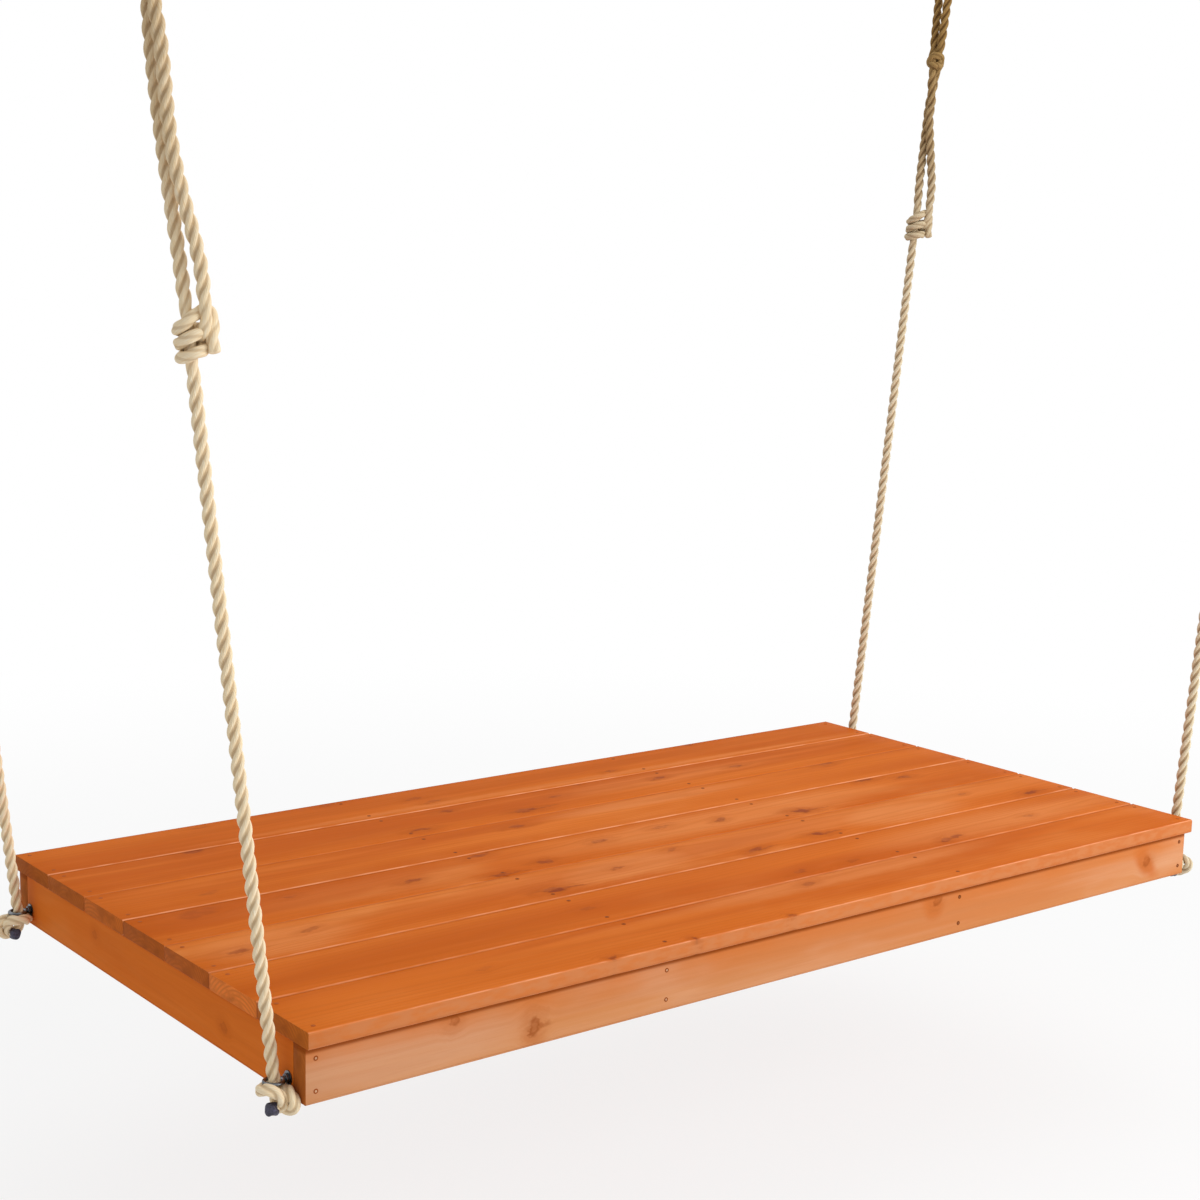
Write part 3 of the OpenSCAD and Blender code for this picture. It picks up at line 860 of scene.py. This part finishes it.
rails = {
    "frontRail": {
        "node": "front_rail", "axes": (0, 2, 1), "edgeHighlight": 0.3,
        "heart": (-0.02, 0.05, 0.01), "tone": railTone,
        "patches": [
            (-0.8, -1.772, 0.24, 0.05, 0.55), (0.834, -1.772, 0.024, 0.036, -0.8),
            (0.264, -1.75, 0.026, 0.03, -0.65),
        ],
        "knots": [
            (-0.712, -1.744, 0.013, 0.013, 0.7, 0), (-0.573, -1.784, 0.015, 0.022, 0.9, 0),
            (0.271, -1.744, 0.014, 0.014, 0.75, 0.2), (0.838, -1.77, 0.015, 0.016, 0.7, 0),
        ],
    },
    "rearRail": {
        "node": "rear_rail", "axes": (0, 2, 1), "edgeHighlight": 0.3,
        "heart": (0.02, -0.05, 0.01), "tone": railTone,
        "knots": [
            (-0.43, -1.765, 0.014, 0.014, 0.7, 0), (0.61, -1.782, 0.016, 0.013, 0.8, 0),
            (0.13, -1.752, 0.012, 0.01, 0.5, 0),
        ],
    },
    "leftEndRail": {
        "node": "left_end_rail", "axes": (1, 2, 0), "edgeHighlight": 0.2,
        "heart": (0.01, 0.06, 0.02), "tone": endRailTone,
        "knots": [(-0.25, -1.775, 0.014, 0.012, 0.35, 0), (0.18, -1.76, 0.012, 0.01, 0.3, 0)],
    },
    "rightEndRail": {
        "node": "right_end_rail", "axes": (1, 2, 0), "edgeHighlight": 0.2,
        "heart": (-0.01, -0.06, 0.02), "tone": endRailTone,
        "knots": [(0.12, -1.768, 0.015, 0.013, 0.7, 0), (-0.31, -1.785, 0.013, 0.01, 0.5, 0)],
    },
    "innerJoistLeft": {
        "node": "inner_joist_left", "axes": (1, 2, 0), "edgeHighlight": 0.2,
        "heart": (0.02, 0.05, 0.02), "tone": deckTone,
        "knots": [(0.15, -1.77, 0.015, 0.012, 0.7, 0)],
    },
    "innerJoistRight": {
        "node": "inner_joist_right", "axes": (1, 2, 0), "edgeHighlight": 0.2,
        "heart": (-0.02, -0.05, 0.02), "tone": deckTone,
        "knots": [(-0.21, -1.775, 0.014, 0.012, 0.7, 0)],
    },
}
for n, (name, rail) in enumerate(rails.items()):
    wood = {
        "seed": 31.7 + n * 4.3, "end": "B8662A", "ringGap": 0.007, "ringMark": 0.14, "edgeWidth": 0.003,
        "backHighlight": 0.3, "paintedSheen": 0.5, "wobble": 0.35, "hollow": 0.45,
    }
    wood.update(rail)
    finish = woodFinish(name + "Stain", rail["node"], rail["axes"], wood)
    woodPiece(name, rail["node"], rail["axes"][0], woodShape["railEdge"], "platform", finish)
print("frame made")


nailShape = {
    "head": 0.0035, "thick": 0.0012, "proud": 0.0002, "shank": 0.0014, "sides": 20,
    "insets": ((0.0004, 0), (0.0007, 0.0001), (0.0008, -0.00012)),  # steps in from the head's rim, and up
    "point": 0.003, "pointSize": 0.15, "smoothUnder": 40,
}
nailLooks = {  # stain covers the heads towards both ends or towards the right, from start to end
    "stainedNail": {
        "middle": "4A200A", "rim": "9A4A14", "wear": "8A4A20", "shine": 0.0,
        "stain": "C06226", "share": 0.65, "bothEnds": True, "start": 0.5, "end": 0.8,
    },
    "brightNail": {
        # the pale middle is a painted highlight
        "middle": "FFDCB4", "rim": "9A4A18", "wear": "8A4A20", "shine": 0.15,
        "stain": "7C3E14", "share": 0.85, "bothEnds": False, "start": -0.5, "end": 0.2,
    },
}
nailPlaces = {
    "rows": (-0.9335, -0.325, 0.325, 0.9335),  # along the swing
    "fromEdge": 0.020,                         # in from each board's edges
    "railFace": 0.482,
    "railHeights": (-1.7484, -1.7949),
    "deckLength": 0.041,
    "railLength": 0.075,
}


def nailFinish(name):
    look = nailLooks[name]
    f = Finish(name)
    far = f.make("ShaderNodeAttribute", {"attribute_name": "fromMiddle"}).out("Fac")
    place = f.here()
    wear = f.noise(place, 300.0, 2.0)
    # the pale middle of the rail nails is a painted highlight
    colour = f.blend(far.ease(0.30, 0.62), linear(look["middle"]), linear(look["rim"]))
    colour = f.blend(wear.ease(0.4, 0.7) * 0.35, colour, linear(look["wear"]))
    along, _, _ = f.split(place)
    reach = abs(along) if look["bothEnds"] else along
    colour = f.blend(reach.ease(look["start"], look["end"]) * look["share"], colour, linear(look["stain"]))
    return f.done(
        Base_Color=colour,
        Metallic=look["shine"],
        Roughness=wear * 0.2 + 0.5,
        Specular_IOR_Level=0.06,
        Normal=f.bump(wear, 0.0002, 0.4),
    )


def nailModel(length):  # one nail pointing down from the middle of its head
    deselect()
    head, thick, shank = nailShape["head"], nailShape["thick"], nailShape["shank"]
    bpy.ops.mesh.primitive_cylinder_add(
        vertices=nailShape["sides"], radius=head, depth=thick,
        location=(0, 0, nailShape["proud"] - thick / 2))
    nail = bpy.context.object
    bpy.ops.object.transform_apply(location=True)
    bpy.ops.object.mode_set(mode="EDIT")
    pick(lambda p: p.normal.z > 0.9, "FACE")
    for inwards, up in nailShape["insets"]:
        bpy.ops.mesh.inset(thickness=inwards, depth=up)
    pick(lambda p: p.normal.z < -0.9, "FACE")
    bpy.ops.mesh.inset(thickness=head - shank, depth=0)
    for down in (thick - length, -nailShape["point"]):
        bpy.ops.mesh.extrude_region_move(TRANSFORM_OT_translate={"value": (0, 0, down)})
    narrow = nailShape["pointSize"]
    bpy.ops.transform.resize(value=(narrow, narrow, 1), center_override=(0, 0, 0))
    bpy.ops.object.mode_set(mode="OBJECT")
    share = nail.data.attributes.new("fromMiddle", "FLOAT", "POINT")
    for v in nail.data.vertices:
        share.data[v.index].value = min(1.0, math.hypot(v.co.x, v.co.y) / head)
    return nail


def nailGroup(name, length, places, node, finish):  # places are (spot, direction of the head)
    first = nailModel(length)
    copies = []
    for spot, way in places:
        copy = first.copy()
        copy.data = first.data.copy()
        scene.collection.objects.link(copy)
        turned = Vector(way).to_track_quat("Z", "Y").to_matrix().to_4x4()
        copy.data.transform(Matrix.Translation(spot) @ turned)
        copies.append(copy)
    bpy.data.objects.remove(first)
    deselect()
    for copy in copies:
        copy.select_set(True)
    bpy.context.view_layer.objects.active = copies[0]
    bpy.ops.object.join()
    group = bpy.context.object
    group.name = name
    bpy.ops.object.shade_smooth_by_angle(angle=math.radians(nailShape["smoothUnder"]))
    group.data.materials.clear()
    group.data.materials.append(finish)
    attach(group, "platform")
    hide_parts(node)


stainedNail = nailFinish("stainedNail")
brightNail = nailFinish("brightNail")
deckNails = []
for i in boards:
    low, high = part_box("deck_board_" + str(i))
    rows = (low.y + nailPlaces["fromEdge"], high.y - nailPlaces["fromEdge"])
    deckNails += [((x, y, high.z), (0, 0, 1)) for x in nailPlaces["rows"] for y in rows]
nailGroup("deckNails", nailPlaces["deckLength"], deckNails, "deck_nails", stainedNail)
railNails = [
    ((x, side * nailPlaces["railFace"], z), (0, side, 0))
    for x in nailPlaces["rows"] for z in nailPlaces["railHeights"] for side in (-1, 1)
]
nailGroup("railNails", nailPlaces["railLength"], railNails, "rail_nails", brightNail)
print("nails made:", len(deckNails) + len(railNails))


# darker than bright zinc: a painted dark reflection of the surroundings
zincLook = {
    "dark": "565A5E", "light": "94989C",
    "clouds": 60.0, "grain": 700.0,
    "roughness": 0.14, "relief": 0.0002,
}


def zincFinish():
    f = Finish("zincPlate")
    place = f.here()
    cloud = f.noise(place, zincLook["clouds"], 3.0)
    grain = f.noise(place, zincLook["grain"], 3.0, 0.6)
    colour = f.blend(cloud.ease(0.35, 0.7), linear(zincLook["dark"]), linear(zincLook["light"]))
    return f.done(
        Base_Color=colour,
        Metallic=1.0,
        Roughness=cloud * 0.2 + grain * 0.1 + zincLook["roughness"],
        Normal=f.bump(grain, zincLook["relief"], 0.25),
    )


zincPlate = zincFinish()
for name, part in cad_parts.items():
    if name.startswith(("eye_", "hook_")):
        part.data.materials.clear()
        part.data.materials.append(zincPlate)


threadShape = {  # sunk is how far a thread stops short of the end
    "hook": {"pitch": 0.0036, "core": 0.0048, "crest": 0.0061, "turns": 13, "cone": 0.009, "sunk": 0.002},
    "bolt": {"pitch": 0.00125, "core": 0.0038, "crest": 0.0044, "turns": 3, "cone": 0.0, "sunk": 0.0006},
}
ridgeShape = {
    "steps": 24,    # round one turn
    "foot": 0.42,   # half the ridge's foot, as a share of the pitch
    "start": 0.76,  # how far out it starts, as a share of its full size
    "taper": 0.8,   # how much of it is gone at the point
}
hookScrew = Vector((1.180, 0.437, 0.060))  # the tip of a hook's screw


def threadModel(shape):  # a sharp ridge wound right-handed up the z axis, from 0
    deselect()
    bpy.ops.mesh.primitive_circle_add(vertices=3, radius=shape["crest"])
    ridge = bpy.context.object
    half = shape["pitch"] * ridgeShape["foot"]
    profile = ((shape["crest"], 0, 0), (shape["core"], 0, half), (shape["core"], 0, -half))
    for v, spot in zip(ridge.data.vertices, profile):
        v.co = spot
    wind = ridge.modifiers.new("wind", "SCREW")
    wind.screw_offset = shape["pitch"]
    wind.iterations = shape["turns"]
    wind.steps = wind.render_steps = ridgeShape["steps"]
    bpy.ops.object.modifier_apply(modifier="wind")
    bpy.ops.object.mode_set(mode="EDIT")
    bpy.ops.mesh.select_all(action="SELECT")
    bpy.ops.mesh.fill_holes(sides=3)
    bpy.ops.mesh.normals_make_consistent(inside=False)
    bpy.ops.object.mode_set(mode="OBJECT")
    length = shape["pitch"] * shape["turns"]
    start = ridgeShape["start"]
    for v in ridge.data.vertices:  # the ridge runs out at its start, and follows the point's cone at its end
        share = min(1.0, start + (1 - start) * max(0.0, v.co.z) / shape["pitch"])
        past = v.co.z - (length - shape["cone"])
        if shape["cone"] and past > 0:
            share = 1 - ridgeShape["taper"] * past / (shape["cone"] + shape["sunk"])
        v.co.x *= share
        v.co.y *= share
    return ridge


for kind, shape in threadShape.items():
    model = threadModel(shape)
    for corner, (sideX, sideY, _) in corners.items():
        thread = model.copy()
        thread.data = model.data.copy()
        thread.name = kind + "Thread_" + corner
        scene.collection.objects.link(thread)
        if kind == "hook":
            start = hookScrew.z - shape["sunk"] - shape["pitch"] * shape["turns"]
            place = Matrix.Translation((sideX * hookScrew.x, sideY * hookScrew.y, start))
            rides = "ceiling_hooks"
        else:
            boltLow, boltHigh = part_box("eye_bolt_" + corner)
            end = boltLow.x + shape["sunk"] if sideX > 0 else boltHigh.x - shape["sunk"]
            turned = Matrix.Rotation(math.radians(90 * sideX), 4, "Y")
            place = Matrix.Translation((end, sideY * ringSpot.y, ringSpot.z)) @ turned
            rides = "platform"
        thread.data.transform(place)
        thread.data.materials.append(zincPlate)
        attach(thread, rides)
    bpy.data.objects.remove(model)
print("threads cut")


stage = {
    "floorHeight": -2.25, "floorSize": 40, "floorTone": (0.86, 0.86, 0.86, 1),
    "white": (1, 1, 1, 1), "ambient": 0.62,
    "fade": (1.2, 4.5, 0.8, 1.0),  # from here to there, the floor goes from this share of white to that
    "lights": {
        "topSoftbox": {"place": (0.6, 0.2, 1.6), "aim": (0, 0, -1.7), "size": (3.0, 3.0), "power": 24},
        "frontSoftbox": {"place": (2.2, -3.6, 0.2), "aim": (0, 0, -1.6), "size": (2.6, 2.0), "power": 105},
    },
}

bpy.ops.mesh.primitive_plane_add(size=stage["floorSize"], location=(0, 0, stage["floorHeight"]))
floor = bpy.context.object
floor.name = "floor"
floor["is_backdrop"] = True
f = Finish("paleFloor")
seen = f.seen()
matt = f.make("ShaderNodeBsdfDiffuse", {}, {"Color": stage["floorTone"]}).out(0)
glow = f.make("ShaderNodeEmission", {}, {"Color": stage["white"], "Strength": 1.0}).out(0)
away = f.make("ShaderNodeVectorMath", {"operation": "LENGTH"}, {0: f.here()}).out("Value")
mixed = f.make("ShaderNodeMixShader", {}, {0: seen * away.ease(*stage["fade"]), 1: matt, 2: glow}).out(0)
f.make("ShaderNodeOutputMaterial", {}, {"Surface": mixed})
floor.data.materials.append(f.material)

world = bpy.data.worlds.new("studio")
scene.world = world
air = Finish("studio", world)
seen = air.seen()
room = air.make("ShaderNodeBackground", {}, {"Color": stage["white"], "Strength": stage["ambient"]}).out(0)
white = air.make("ShaderNodeBackground", {}, {"Color": stage["white"], "Strength": 1.0}).out(0)
mixed = air.make("ShaderNodeMixShader", {}, {0: seen, 1: room, 2: white}).out(0)
air.make("ShaderNodeOutputWorld", {}, {"Surface": mixed})

for name, lamp in stage["lights"].items():
    data = bpy.data.lights.new(name, "AREA")
    data.shape = "RECTANGLE"
    data.size, data.size_y = lamp["size"]
    data.energy = lamp["power"]
    light = bpy.data.objects.new(name, data)
    light.location = lamp["place"]
    light.rotation_euler = (Vector(lamp["aim"]) - light.location).to_track_quat("-Z", "Y").to_euler()
    scene.collection.objects.link(light)
print("stage set")


low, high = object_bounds()
